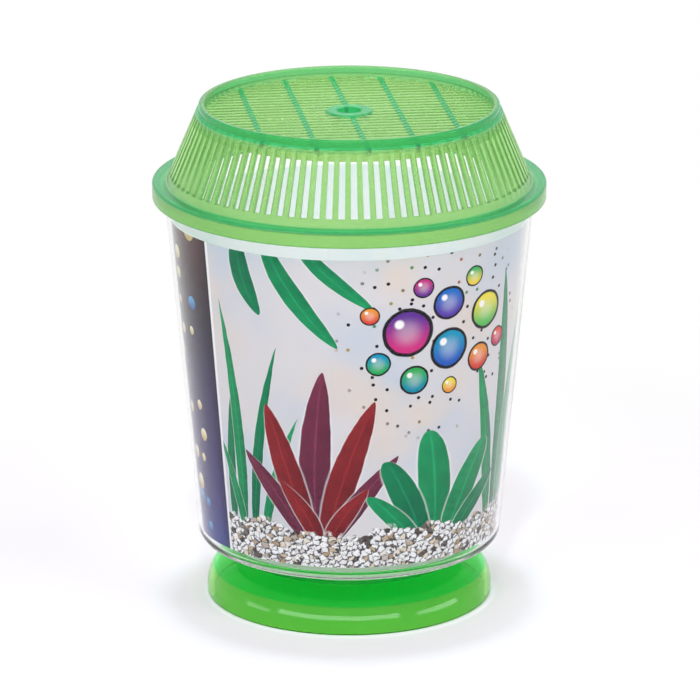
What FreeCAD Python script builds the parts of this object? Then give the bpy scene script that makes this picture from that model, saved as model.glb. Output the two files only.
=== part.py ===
import FreeCAD, Part
import os
import re
import Sketcher

# A round pet keeper: a clear tapered tank with a printed sleeve inside it, a green vented lid that fits over
# its rim, and a green pedestal that it stands on. Lengths are millimetres, angles degrees. The origin is the
# middle of the foot, on the surface that the keeper stands on, and +Z is up.

SIZES = {
    # Pedestal, a hollow upturned bowl
    "foot_radius": 51.5,
    "foot_band": 2.5,
    "shoulder_radius": 14.0,
    "shoulder_turn": 55.0,
    "crown_run": 4.3,
    "pedestal_wall": 2.2,
    "crown_edge_radius": 1.0,
    "foot_edge_radius": 0.5,
    "ring_width": 1.8,
    "ring_headroom": 1.1,
    "ring_edge_radius": 0.5,
    # Tank, and the foot ring that stands on the pedestal's seat round its locating ring
    "seat_margin": 1.2,
    "seat_gap": 0.4,
    "foot_ring_width": 2.6,
    "foot_ring_height": 3.5,
    "tank_base_radius": 54.1,
    "tank_mouth_radius": 65.7,
    "tank_height": 131.5,
    "tank_wall": 1.2,
    "tank_floor": 2.5,
    "tank_corner": 5.0,
    "corner_flat_share": 0.9,
    "inner_corner": 3.0,
    "bead_width": 1.9,
    "bead_height": 3.2,
    "bead_edge_radius": 0.6,
    # Printed sleeve, open along a seam at the back
    "sleeve_gap": 0.25,
    "sleeve_thickness": 0.5,
    "sleeve_margin": 10.1,
    "seam_gap": 0.6,
    # Lid band and ledge, which fit over the tank's bead
    "lid_gap": 0.4,
    "band_wall": 2.0,
    "band_height": 5.85,
    "ledge_thickness": 1.7,
    "ledge_width": 5.1,
    "band_edge_radius": 0.8,
    "ledge_fillet": 0.9,
    # Lid skirt and its slots
    "skirt_height": 25.25,
    "skirt_lean": 10.7,
    "skirt_wall": 1.8,
    "slot_count": 90,
    "slot_width_share": 0.54,
    "slot_land": 2.5,
    "slot_cap": 0.6,
    # Lid rim, grille and the boss round the air-line hole
    "rim_step": 0.9,
    "rim_height": 2.9,
    "rim_wall": 2.2,
    "rim_edge_radius": 0.7,
    "grille_drop": 3.3,
    "bar_width": 1.9,
    "bar_pitch": 3.75,
    "bar_depth": 1.6,
    "bar_root": 0.9,
    "rib_width": 1.6,
    "rib_pitch": 17.4,
    "rib_depth": 2.6,
    "boss_radius": 8.3,
    "boss_rise": 0.4,
    "hole_radius": 4.3,
    "overrun": 1.0,
}

# Places that follow from the sizes, each a formula of names above it
PLACES = {
    "wall_apex": "foot_band + shoulder_radius * tan(shoulder_turn / 2)",
    "seat_radius": "foot_radius - shoulder_radius * (1 - cos(shoulder_turn)) - crown_run",
    "seat": "foot_band + shoulder_radius * sin(shoulder_turn) + crown_run / tan(shoulder_turn)",
    "inner_foot_radius": "foot_radius - pedestal_wall",
    "inner_apex": "wall_apex - pedestal_wall * tan(shoulder_turn / 2)",
    "inner_seat_radius": "seat_radius - pedestal_wall * tan(45 - shoulder_turn / 2)",
    "inner_seat": "seat - pedestal_wall",
    "inner_shoulder_radius": "shoulder_radius - pedestal_wall",
    "tank_foot_radius": "seat_radius - seat_margin",
    "tank_foot_inner": "tank_foot_radius - foot_ring_width",
    "outer_corner": "min(tank_corner; corner_flat_share * (tank_base_radius - tank_foot_radius))",
    "ring_radius": "tank_foot_inner - seat_gap",
    "ring_inner": "ring_radius - ring_width",
    "ring_top": "seat + foot_ring_height - ring_headroom",
    "tank_bottom": "seat + foot_ring_height",
    "floor_top": "tank_bottom + tank_floor",
    "rim": "tank_bottom + tank_height",
    "bead_low": "rim - bead_height",
    "bead_radius": "tank_mouth_radius + bead_width",
    "taper": "(tank_mouth_radius - tank_base_radius) / (bead_low - tank_bottom)",
    "wall_across": "tank_wall * sqrt(1 + taper ^ 2)",
    "floor_radius": "tank_base_radius + taper * tank_floor - wall_across",
    "mouth_inner": "tank_base_radius + taper * tank_height - wall_across",
    "sleeve_low": "floor_top + inner_corner + sleeve_gap",
    "sleeve_high": "rim - sleeve_margin",
    "sleeve_low_radius": "floor_radius + taper * (sleeve_low - floor_top) - sleeve_gap",
    "sleeve_high_radius": "floor_radius + taper * (sleeve_high - floor_top) - sleeve_gap",
    "sleeve_low_inner": "sleeve_low_radius - sleeve_thickness",
    "sleeve_high_inner": "sleeve_high_radius - sleeve_thickness",
    "seam_angle": "seam_gap / sleeve_low_radius * 180 / pi",
    "band_inner": "bead_radius + lid_gap",
    "band_radius": "band_inner + band_wall",
    "ledge": "rim + ledge_thickness",
    "band_low": "ledge - band_height",
    "skirt_low_radius": "band_radius - ledge_width",
    "skirt_high": "ledge + skirt_height",
    "skirt_high_radius": "skirt_low_radius - skirt_lean",
    "lean": "skirt_lean / skirt_height",
    "skirt_across": "skirt_wall * sqrt(1 + lean ^ 2)",
    "rim_radius": "skirt_high_radius - rim_step",
    "rim_top": "skirt_high + rim_height",
    "rim_inner": "rim_radius - rim_wall",
    "grille_top": "rim_top - grille_drop",
    "grille_low": "grille_top - bar_depth",
    "skirt_inner_high": "skirt_low_radius - lean * (grille_low - ledge) - skirt_across",
    "skirt_inner_low": "skirt_low_radius + lean * ledge_thickness - skirt_across",
    "slot_low": "ledge + slot_land",
    "slot_high": "skirt_high - slot_cap",
    "slot_root": "skirt_high_radius",
    "slot_angle": "slot_width_share * 360 / slot_count",
    "grille_radius": "rim_inner + bar_root",
    "rib_low": "grille_top - rib_depth",
    "bars_a_side": "floor((rim_inner - bar_width) / bar_pitch)",
    "ribs_a_side": "floor((rim_inner - rib_width) / rib_pitch)",
}

START = 1
END = 2
ORIGIN = -1
LEVEL_AXIS = -1
UPRIGHT_AXIS = -2
FULL_TURN = 360
SAME_PLACE = 0.001

doc = FreeCAD.newDocument("pet_keeper")


def linked(formula):
    """The formula with each named value pointed at the sheet that holds it."""
    def with_sheet(match):
        name = match.group()
        if name in SIZES:
            return "Sizes." + name
        if name in PLACES:
            return "Places." + name
        return name
    return re.sub(r"[a-z_]+", with_sheet, formula)


def worked_out(name):
    """A named size or place, or zero, as a plain number."""
    if name == "0":
        return 0.0
    sheet = doc.Sizes if name in SIZES else doc.Places
    return float(sheet.get(name))


def fill_sheet(name, cells):
    """A sheet with one named cell a row."""
    sheet = doc.addObject("Spreadsheet::Sheet", name)
    for row, (alias, content) in enumerate(cells.items(), start=1):
        sheet.set(f"A{row}", alias)
        sheet.set(f"B{row}", content)
        sheet.setAlias(f"B{row}", alias)
    doc.recompute()


def bind(item, **formulas):
    """Ties properties of an object to the sheets."""
    for name, formula in formulas.items():
        item.setExpression(name, linked(formula))


def new_body(label):
    """An empty body for one piece."""
    body = doc.addObject("PartDesign::Body", label)
    body.Label = label
    return body


def outline(body, name, corners):
    """A closed sketch in the body's upright plane, each corner held at its radius and height."""
    sketch = body.newObject("Sketcher::SketchObject", name)
    plane = next(f for f in body.Origin.OriginFeatures if f.Role == "XZ_Plane")
    sketch.AttachmentSupport = (plane, [""])
    sketch.MapMode = "FlatFace"
    spots = [FreeCAD.Vector(worked_out(radius), worked_out(height), 0) for radius, height in corners]
    following = spots[1:] + spots[:1]
    for spot, next_spot in zip(spots, following):
        sketch.addGeometry(Part.LineSegment(spot, next_spot), False)
    for side in range(len(spots)):
        next_side = (side + 1) % len(spots)
        sketch.addConstraint(Sketcher.Constraint("Coincident", side, END, next_side, START))
    for side, (radius, height) in enumerate(corners):
        hold(sketch, side, "DistanceX", radius, UPRIGHT_AXIS)
        hold(sketch, side, "DistanceY", height, LEVEL_AXIS)
    doc.recompute()
    return sketch


def hold(sketch, side, kind, name, axis):
    """Holds a side's start at a named distance from the origin, or on an axis where that is zero."""
    if name == "0":
        sketch.addConstraint(Sketcher.Constraint("PointOnObject", side, START, axis))
        return
    distance = Sketcher.Constraint(kind, ORIGIN, START, side, START, worked_out(name))
    index = sketch.addConstraint(distance)
    sketch.setExpression(f"Constraints[{index}]", linked(name))


def turned(body, kind, name, sketch, angle=str(FULL_TURN), both_ways=False):
    """A revolution or groove of a sketch about its upright axis."""
    feature = body.newObject("PartDesign::" + kind, name)
    feature.Profile = sketch
    feature.ReferenceAxis = (sketch, ["V_Axis"])
    feature.Midplane = both_ways
    bind(feature, Angle=angle)
    body.Tip = feature
    doc.recompute()
    return feature


def rounded(body, name, radius, rings):
    """Rounds the ring edges that lie at the given radii and heights."""
    base = body.Tip
    places = [(worked_out(ring), worked_out(height)) for ring, height in rings]
    edges = []
    for index, edge in enumerate(base.Shape.Edges, start=1):
        if not isinstance(edge.Curve, Part.Circle):
            continue
        for ring, height in places:
            same_ring = abs(edge.Curve.Radius - ring) < SAME_PLACE
            if same_ring and abs(edge.Curve.Center.z - height) < SAME_PLACE:
                edges.append(f"Edge{index}")
    if len(edges) < len(rings):
        raise RuntimeError(f"{name}: {len(edges)} of {len(rings)} edges found")
    fillet = body.newObject("PartDesign::Fillet", name)
    fillet.Base = (base, edges)
    bind(fillet, Radius=radius)
    body.Tip = fillet
    doc.recompute()


def make_pedestal():
    """The upturned bowl, with a seat on top and a low ring that centres the tank."""
    body = new_body("pedestal_base")
    sketch = outline(body, "pedestal_outline", [
        ("foot_radius", "0"),
        ("foot_radius", "wall_apex"),
        ("seat_radius", "seat"),
        ("ring_radius", "seat"),
        ("ring_radius", "ring_top"),
        ("ring_inner", "ring_top"),
        ("ring_inner", "seat"),
        ("0", "seat"),
        ("0", "inner_seat"),
        ("inner_seat_radius", "inner_seat"),
        ("inner_foot_radius", "inner_apex"),
        ("inner_foot_radius", "0"),
    ])
    turned(body, "Revolution", "pedestal_bowl", sketch)
    rounded(body, "pedestal_shoulder", "shoulder_radius", [("foot_radius", "wall_apex")])
    rounded(body, "pedestal_hollow", "inner_shoulder_radius", [("inner_foot_radius", "inner_apex")])
    rounded(body, "pedestal_crown_edge", "crown_edge_radius", [("seat_radius", "seat")])
    rounded(body, "pedestal_foot_edge", "foot_edge_radius", [("foot_radius", "0")])
    rounded(body, "pedestal_ring_edges", "ring_edge_radius", [("ring_radius", "ring_top"),
                                                              ("ring_inner", "ring_top")])
    return body


def make_tank():
    """The clear tapered tub, with a foot ring below and a thick bead round its mouth."""
    body = new_body("tank")
    sketch = outline(body, "tank_outline", [
        ("0", "tank_bottom"),
        ("tank_foot_inner", "tank_bottom"),
        ("tank_foot_inner", "seat"),
        ("tank_foot_radius", "seat"),
        ("tank_foot_radius", "tank_bottom"),
        ("tank_base_radius", "tank_bottom"),
        ("tank_mouth_radius", "bead_low"),
        ("bead_radius", "bead_low"),
        ("bead_radius", "rim"),
        ("mouth_inner", "rim"),
        ("floor_radius", "floor_top"),
        ("0", "floor_top"),
    ])
    turned(body, "Revolution", "tank_tub", sketch)
    rounded(body, "tank_outer_corner", "outer_corner", [("tank_base_radius", "tank_bottom")])
    rounded(body, "tank_inner_corner", "inner_corner", [("floor_radius", "floor_top")])
    rounded(body, "tank_bead_edges", "bead_edge_radius", [("bead_radius", "bead_low"),
                                                          ("bead_radius", "rim"),
                                                          ("mouth_inner", "rim")])
    return body


def make_sleeve():
    """The printed sheet, rolled to the tank's taper, with its seam at the back."""
    body = new_body("picture_sleeve")
    sketch = outline(body, "sleeve_outline", [
        ("sleeve_low_inner", "sleeve_low"),
        ("sleeve_low_radius", "sleeve_low"),
        ("sleeve_high_radius", "sleeve_high"),
        ("sleeve_high_inner", "sleeve_high"),
    ])
    turned(body, "Revolution", "sleeve_roll", sketch, f"{FULL_TURN} - seam_angle", both_ways=True)
    seam_to_back = FreeCAD.Rotation(FreeCAD.Vector(0, 0, 1), -FULL_TURN / 4)
    body.Placement = FreeCAD.Placement(FreeCAD.Vector(0, 0, 0), seam_to_back)
    return body


def make_lid_shell():
    """The lid without its grille: band, ledge, slotted skirt and raised rim."""
    body = new_body("lid_shell")
    sketch = outline(body, "lid_outline", [
        ("band_inner", "band_low"),
        ("band_radius", "band_low"),
        ("band_radius", "ledge"),
        ("skirt_low_radius", "ledge"),
        ("skirt_high_radius", "skirt_high"),
        ("rim_radius", "skirt_high"),
        ("rim_radius", "rim_top"),
        ("rim_inner", "rim_top"),
        ("rim_inner", "grille_low"),
        ("skirt_inner_high", "grille_low"),
        ("skirt_inner_low", "rim"),
        ("band_inner", "rim"),
    ])
    turned(body, "Revolution", "lid_wall", sketch)
    rounded(body, "lid_band_edge", "band_edge_radius", [("band_radius", "ledge")])
    rounded(body, "lid_ledge_fillet", "ledge_fillet", [("skirt_low_radius", "ledge")])
    rounded(body, "lid_rim_edges", "rim_edge_radius", [("rim_radius", "rim_top"), ("rim_inner", "rim_top")])
    uncut = body.Shape.Volume
    slot = outline(body, "slot_outline", [
        ("slot_root", "slot_low"),
        ("band_radius", "slot_low"),
        ("band_radius", "slot_high"),
        ("slot_root", "slot_high"),
    ])
    groove = turned(body, "Groove", "lid_slot", slot, "slot_angle", both_ways=True)
    pattern = body.newObject("PartDesign::PolarPattern", "lid_slots")
    pattern.Originals = [groove]
    pattern.Axis = (slot, ["V_Axis"])
    pattern.Angle = FULL_TURN
    bind(pattern, Occurrences="slot_count")
    body.Tip = pattern
    doc.recompute()
    if not body.Shape.Volume < uncut:
        raise RuntimeError("the slots cut nothing out of the lid")
    return body


def make_strip(name, length, width, low, depth, offset, across):
    """One straight strip of the grille, centred on its offset from the middle of the lid."""
    strip = doc.addObject("Part::Box", name)
    if across:
        bind(strip, Length=length, Width=width)
        bind(strip, **{"Placement.Base.x": f"-({length}) / 2", "Placement.Base.y": f"{offset} - {width} / 2"})
    else:
        bind(strip, Length=width, Width=length)
        bind(strip, **{"Placement.Base.x": f"{offset} - {width} / 2", "Placement.Base.y": f"-({length}) / 2"})
    bind(strip, Height=depth)
    bind(strip, **{"Placement.Base.z": low})
    return strip


def make_disc(name, radius, low, height):
    """An upright cylinder on the lid's axis."""
    disc = doc.addObject("Part::Cylinder", name)
    bind(disc, Radius=radius, Height=height)
    bind(disc, **{"Placement.Base.z": low})
    return disc


def make_lid():
    """The whole lid, one moulding: the shell, its grille of bars on ribs, and the holed boss."""
    shell = make_lid_shell()
    strips = []
    length = "2 * grille_radius"
    bars_a_side = int(worked_out("bars_a_side"))
    for place in range(-bars_a_side, bars_a_side + 1):
        offset = f"({place} * bar_pitch)"
        strips.append(make_strip("grille_bar", length, "bar_width", "grille_low", "bar_depth", offset, True))
    ribs_a_side = int(worked_out("ribs_a_side"))
    for place in range(-ribs_a_side, ribs_a_side + 1):
        offset = f"({place} * rib_pitch)"
        strips.append(make_strip("grille_rib", length, "rib_width", "rib_low", "rib_depth", offset, False))
    boss = make_disc("boss", "boss_radius", "rib_low", "rib_depth + boss_rise")
    lattice = doc.addObject("Part::MultiFuse", "lattice")
    lattice.Shapes = strips + [boss]
    lattice.Refine = False
    trim = make_disc("lattice_trim", "grille_radius", "rib_low", "rib_depth + boss_rise")
    hole = make_disc("air_line_hole", "hole_radius", "rib_low - overrun", "rib_depth + boss_rise + 2 * overrun")
    holed_trim = doc.addObject("Part::Cut", "holed_trim")
    holed_trim.Base = trim
    holed_trim.Tool = hole
    grille = doc.addObject("Part::MultiCommon", "grille")
    grille.Shapes = [lattice, holed_trim]
    lid = doc.addObject("Part::Fuse", "lid")
    lid.Base = shell
    lid.Tool = grille
    lid.Refine = False
    lid.Label = "lid"
    doc.recompute()
    return lid


fill_sheet("Sizes", {name: str(size) for name, size in SIZES.items()})
fill_sheet("Places", {name: "=" + linked(formula) for name, formula in PLACES.items()})
pieces = [make_pedestal(), make_tank(), make_sleeve(), make_lid()]
doc.recompute()

for item in doc.Objects:
    if "Invalid" in item.State or "Error" in item.State:
        raise RuntimeError(f"{item.Label} failed: {item.State}")
for piece in pieces:
    if piece.Shape.isNull() or not piece.Shape.isValid() or len(piece.Shape.Solids) != 1:
        raise RuntimeError(f"{piece.Label} isn't one valid solid")

os.makedirs("parts", exist_ok=True)
for piece in pieces:
    piece.Shape.exportStep(f"parts/{piece.Label}.step")
    box = piece.Shape.optimalBoundingBox()
    print(f"{piece.Label}: x {box.XMin:.2f} to {box.XMax:.2f}, z {box.ZMin:.2f} to {box.ZMax:.2f}")
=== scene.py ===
import math

import bmesh
import bpy
from mathutils import Matrix, Vector


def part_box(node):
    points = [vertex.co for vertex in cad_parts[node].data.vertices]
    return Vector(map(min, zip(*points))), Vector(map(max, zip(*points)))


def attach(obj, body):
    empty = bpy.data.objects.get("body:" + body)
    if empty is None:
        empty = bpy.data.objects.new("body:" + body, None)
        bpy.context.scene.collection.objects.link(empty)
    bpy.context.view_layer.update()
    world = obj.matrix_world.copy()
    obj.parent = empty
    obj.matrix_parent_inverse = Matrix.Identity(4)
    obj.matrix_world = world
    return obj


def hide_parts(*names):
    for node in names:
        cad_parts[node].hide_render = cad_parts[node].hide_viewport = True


# Dresses the round pet keeper: a clear tank on a green pedestal, a printed sleeve inside the tank's wall and
# a green vented lid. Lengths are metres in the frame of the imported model, written as millimetres times MM.

MM = 0.001
FULL_TURN = math.tau
ARC_STEP = math.radians(7)
RING_STEPS = 180
MERGE = 0.004 * MM
SAME_LEVEL = 0.05 * MM
SHARP = math.radians(35)
UP = Vector((0, 0, 1))
MIDDLE = Vector((0, 0, 0))

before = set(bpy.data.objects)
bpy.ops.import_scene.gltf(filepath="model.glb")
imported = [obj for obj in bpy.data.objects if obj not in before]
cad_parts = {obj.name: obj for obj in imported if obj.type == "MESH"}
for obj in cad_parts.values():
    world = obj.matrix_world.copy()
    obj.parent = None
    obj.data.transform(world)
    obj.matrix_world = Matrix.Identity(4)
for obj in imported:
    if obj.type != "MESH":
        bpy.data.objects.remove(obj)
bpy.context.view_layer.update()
pedestal_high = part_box("pedestal_base")[1]
tank_low, tank_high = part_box("tank")
sleeve_low, sleeve_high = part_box("picture_sleeve")
lid_low, lid_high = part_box("lid")

# Pedestal
FOOT_RADIUS = pedestal_high.x
FOOT_BAND = 2.5 * MM
SHOULDER_RADIUS = 14 * MM
SHOULDER_TURN = math.radians(55)
CROWN_RUN = 4.3 * MM
PEDESTAL_WALL = 2.2 * MM
# Height where the pedestal's painted shade starts: deeper green painted above it, paler olive painted below
# it as light from the floor
SHADED_CROWN_LOW = 9.7 * MM
SEAT = tank_low.z
SEAT_RADIUS = FOOT_RADIUS - SHOULDER_RADIUS * (1 - math.cos(SHOULDER_TURN)) - CROWN_RUN
WALL_APEX = FOOT_BAND + SHOULDER_RADIUS * math.tan(SHOULDER_TURN / 2)
RING_TOP = pedestal_high.z
RING_WIDTH = 1.8 * MM
SEAT_EDGE = 1 * MM
FOOT_EDGE = 0.5 * MM
RING_EDGE = 0.5 * MM
RING_ROOT = 0.3 * MM

# Tank
SEAT_MARGIN = 1.2 * MM
SEAT_GAP = 0.4 * MM
FOOT_RING_WIDTH = 2.6 * MM
FOOT_RING_HEIGHT = 3.5 * MM
TANK_FOOT_RADIUS = SEAT_RADIUS - SEAT_MARGIN
TANK_BOTTOM = SEAT + FOOT_RING_HEIGHT
TANK_BASE_RADIUS = 54.1 * MM
TANK_MOUTH_RADIUS = 65.7 * MM
TANK_WALL = 1.2 * MM
TANK_FLOOR = 2.5 * MM
TANK_CORNER = 5 * MM
INNER_CORNER = 3 * MM
FOOT_RING_EDGE = 0.6 * MM
FOOT_RING_ROOT = 0.4 * MM
BEAD_RADIUS = tank_high.x
BEAD_HEIGHT = 3.2 * MM
BEAD_EDGE = 0.6 * MM
BEAD_ROOT = 0.5 * MM
RIM = tank_high.z
BEAD_LOW = RIM - BEAD_HEIGHT
TAPER = (TANK_MOUTH_RADIUS - TANK_BASE_RADIUS) / (BEAD_LOW - TANK_BOTTOM)
WALL_ACROSS = TANK_WALL * math.hypot(1, TAPER)

# Printed sleeve
SLEEVE_THICKNESS = 0.5 * MM
SLEEVE_GAP = 0.25 * MM
SEAM_GAP = 0.05 * MM
PRINT_HEIGHT = sleeve_high.z - sleeve_low.z
PRINT_RADIUS = sleeve_high.x - TAPER * PRINT_HEIGHT / 2

# Lid
BAND_RADIUS = lid_high.x
BAND_WALL = 2 * MM
BAND_LOW = lid_low.z
LEDGE = RIM + 1.7 * MM
LEDGE_WIDTH = 5.1 * MM
BAND_FOOT_EDGE = 0.4 * MM
BAND_EDGE = 0.8 * MM
LEDGE_FILLET = 0.9 * MM
INNER_FILLET = 0.4 * MM
GRILLE_EDGE = 0.2 * MM
SKIRT_HEIGHT = 25.25 * MM
SKIRT_LEAN = 10.7 * MM
SKIRT_WALL = 1.8 * MM
SKIRT_LOW_RADIUS = BAND_RADIUS - LEDGE_WIDTH
SKIRT_HIGH = LEDGE + SKIRT_HEIGHT
LEAN = SKIRT_LEAN / SKIRT_HEIGHT
SKIRT_ACROSS = SKIRT_WALL * math.hypot(1, LEAN)
SLOT_COUNT = 90
SLOT_WIDTH_SHARE = 0.54
SLOT_LOW = LEDGE + 2.5 * MM
SLOT_HIGH = SKIRT_HIGH - 0.6 * MM
SLOT_EDGE = 0.22 * MM
RIM_STEP = 0.9 * MM
RIM_WALL = 2.2 * MM
RIM_EDGE = 0.7 * MM
RIM_ROOT = 0.3 * MM
RIM_TOP = lid_high.z
RIM_RADIUS = SKIRT_LOW_RADIUS - SKIRT_LEAN - RIM_STEP
RIM_INNER = RIM_RADIUS - RIM_WALL
GRILLE_TOP = RIM_TOP - 3.3 * MM
BAR_WIDTH = 1.9 * MM
BAR_PITCH = 3.75 * MM
BAR_DEPTH = 1.6 * MM
GRILLE_LOW = GRILLE_TOP - BAR_DEPTH
STRIP_EDGE = 0.3 * MM
STRIP_ROOT = 0.9 * MM
RIB_WIDTH = 1.6 * MM
RIB_PITCH = 17.4 * MM
RIB_DEPTH = 2.6 * MM
RIB_SET_BACK = 0.15 * MM
BOSS_RADIUS = 8.3 * MM
BOSS_RISE = 0.4 * MM
BOSS_EDGE = 0.5 * MM
HOLE_RADIUS = 4.3 * MM

# Print on the sleeve, in millimetres: across from the front, and up from its foot
SCENE_LEFT = -98.0
SCENE_RIGHT = SCENE_LEFT + math.pi * PRINT_RADIUS / MM
STRIPE_EDGE = -60.9
STRIPE_WRAP = SCENE_RIGHT - 7
GREENS = (0, 98, 66), (24, 158, 98)
DEEP_GREENS = (0, 78, 62), (12, 138, 88)
REDS = (66, 12, 24), (156, 40, 46)
PLUMS = (58, 18, 40), (128, 50, 78)

# Leaves: foot across, foot up, height, lean, bend, width, tip, colours
LEAVES = [
    (-56, 6, 62, -2, 6, 2.6, 0.9, DEEP_GREENS),
    (-51, 6, 90, 4, -9, 3.0, 0.9, GREENS),
    (-46, 6, 76, 3, 10, 2.8, 0.9, DEEP_GREENS),
    (-42, 6, 50, 8, 8, 2.6, 0.9, GREENS),
    (-50, 6, 38, -6, -5, 2.4, 0.9, GREENS),
    (-36, 121, -38, 12, 12, 4.6, 0.6, GREENS),
    (-46, 121, -28, -3, 10, 4.2, 0.6, DEEP_GREENS),
    (-24, 121, -24, 16, 8, 4.2, 0.6, GREENS),
    (-20, 6, 68, -4, 7, 6.6, 0.7, PLUMS),
    (-22, 8, 52, -17, 1, 6.0, 0.7, REDS),
    (-17, 8, 55, 13, 5, 6.2, 0.7, REDS),
    (-23, 8, 33, -19, -6, 5.2, 0.7, PLUMS),
    (-15, 8, 34, 18, 7, 5.2, 0.7, PLUMS),
    (-19, 8, 24, -7, -8, 4.6, 0.7, REDS),
    (-16, 8, 22, 9, 6, 4.6, 0.7, REDS),
    (60, 6, 98, 4, -10, 4.2, 0.8, DEEP_GREENS),
    (65, 6, 86, -2, 10, 4.4, 0.8, GREENS),
    (56, 6, 68, -6, -8, 4.0, 0.8, GREENS),
    (69, 6, 60, 6, 4, 4.0, 0.8, DEEP_GREENS),
    (26, 6, 44, 2, -6, 6.6, 0.45, GREENS),
    (22, 6, 34, -12, -4, 5.8, 0.45, DEEP_GREENS),
    (31, 6, 36, 14, 4, 6.2, 0.45, GREENS),
    (20, 6, 21, -16, -4, 4.8, 0.45, GREENS),
    (34, 6, 22, 16, 6, 4.8, 0.45, DEEP_GREENS),
]

# A leaf's outline peaks well below one, so its width is scaled up
LEAF_FULLNESS = 2.2

# Bubbles: middle across, middle up, radius, upper and lower colour
BUBBLES = [
    (12, 88, 9.0, (96, 48, 150), (210, 46, 130)),
    (28, 80, 7.6, (0, 150, 190), (30, 90, 190)),
    (27, 97, 6.2, (20, 110, 200), (90, 60, 170)),
    (44, 91, 7.2, (240, 222, 70), (90, 190, 90)),
    (42, 74, 5.4, (236, 150, 50), (220, 60, 50)),
    (15, 70, 5.4, (50, 175, 90), (0, 140, 170)),
    (2, 77, 4.4, (0, 150, 190), (40, 170, 90)),
    (52, 79, 3.8, (225, 70, 50), (190, 40, 90)),
    (37, 105, 3.8, (60, 180, 90), (240, 214, 70)),
    (17, 104, 3.8, (200, 50, 130), (110, 50, 150)),
    (-1, 95, 3.4, (240, 150, 50), (225, 70, 50)),
    (29, 66, 3.2, (240, 220, 70), (236, 150, 50)),
]

# Specks round the bubbles: their middle and how far out they lie
SPECKS_MIDDLE = (25, 85, 0)
SPECKS_REACH = 40

# Pebbles in a millimetre of the print, across and up
STONES_ACROSS = 0.4
STONES_UP = 0.55

# Floor: its radius, and where it starts and ends to run out to white
FLOOR_RADIUS = 6.0
FLOOR_NEAR = 50 * MM
FLOOR_FAR = 360 * MM

# Bright strips of the surround: left and right edge, low and high edge in degrees, strength
STRIPS = [
    (-66, 33, 5, 17, 8),
    (48, 88, 0.5, 11, 7),
    (-97, -74, 0.5, 10, 5),
]
STRIP_SIDE_SOFTNESS = 2
STRIP_END_SOFTNESS = 0.4
STRIP_RAY_DEPTH = 2.5


def skirt_radius(height, inset=0.0):
    """Radius of the lid's skirt at a height, on its outside or inset from it."""
    return SKIRT_LOW_RADIUS - LEAN * (height - LEDGE) - inset


def tank_radius(height, inset=0.0):
    """Radius of the tank's wall at a height, on its outside or inset from it."""
    return TANK_BASE_RADIUS + TAPER * (height - TANK_BOTTOM) - inset


def rounded_outline(corners):
    """Points of an outline of (radius, height, rounding) corners, with an arc at each rounded one."""
    points = []
    for index, (radius, height, rounding) in enumerate(corners):
        corner = Vector((radius, height))
        if not rounding:
            points.append(corner)
            continue
        before = (Vector(corners[index - 1][:2]) - corner).normalized()
        after = (Vector(corners[(index + 1) % len(corners)][:2]) - corner).normalized()
        half = before.angle(after) / 2
        centre = corner + (before + after).normalized() * (rounding / math.sin(half))
        first = corner + before * (rounding / math.tan(half)) - centre
        last = corner + after * (rounding / math.tan(half)) - centre
        sweep = math.atan2(first.cross(last), first.dot(last))
        steps = max(2, math.ceil(abs(sweep) / ARC_STEP))
        for step in range(steps + 1):
            points.append(centre + Matrix.Rotation(sweep * step / steps, 2) @ first)
    return points


def outline_edges(mesh, outline, angle=0.0, closed=True):
    """Puts an outline into a mesh as a wire, standing upright at an angle round the axis."""
    turn = Matrix.Rotation(angle, 3, "Z")
    verts = [mesh.verts.new(turn @ Vector((radius, 0, height))) for radius, height in outline]
    following = verts[1:] + verts[:1] if closed else verts[1:]
    return verts + [mesh.edges.new(pair) for pair in zip(verts, following)]


def cleaned(mesh):
    """Joins what a turn left double and points the faces outwards."""
    bmesh.ops.remove_doubles(mesh, verts=mesh.verts[:], dist=MERGE)
    bmesh.ops.recalc_face_normals(mesh, faces=mesh.faces[:])
    return mesh


def turned(outline, closed=True):
    """A mesh of an outline turned right round the axis."""
    mesh = bmesh.new()
    wire = outline_edges(mesh, outline, closed=closed)
    bmesh.ops.spin(mesh, geom=wire, cent=MIDDLE, axis=UP, angle=FULL_TURN, steps=RING_STEPS, use_merge=True)
    return cleaned(mesh)


def new_object(name, mesh):
    """An object at the origin that shows a mesh."""
    data = bpy.data.meshes.new(name)
    mesh.to_mesh(data)
    mesh.free()
    piece = bpy.data.objects.new(name, data)
    bpy.context.scene.collection.objects.link(piece)
    return piece


def finished(piece, node, body, materials):
    """Smooths a piece but for its sharp edges, and gives it its materials and its place in the frame."""
    piece.data.shade_smooth()
    piece.data.set_sharp_from_angle(angle=SHARP)
    for material in materials:
        piece.data.materials.append(material)
    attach(piece, body)
    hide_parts(node)


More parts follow.
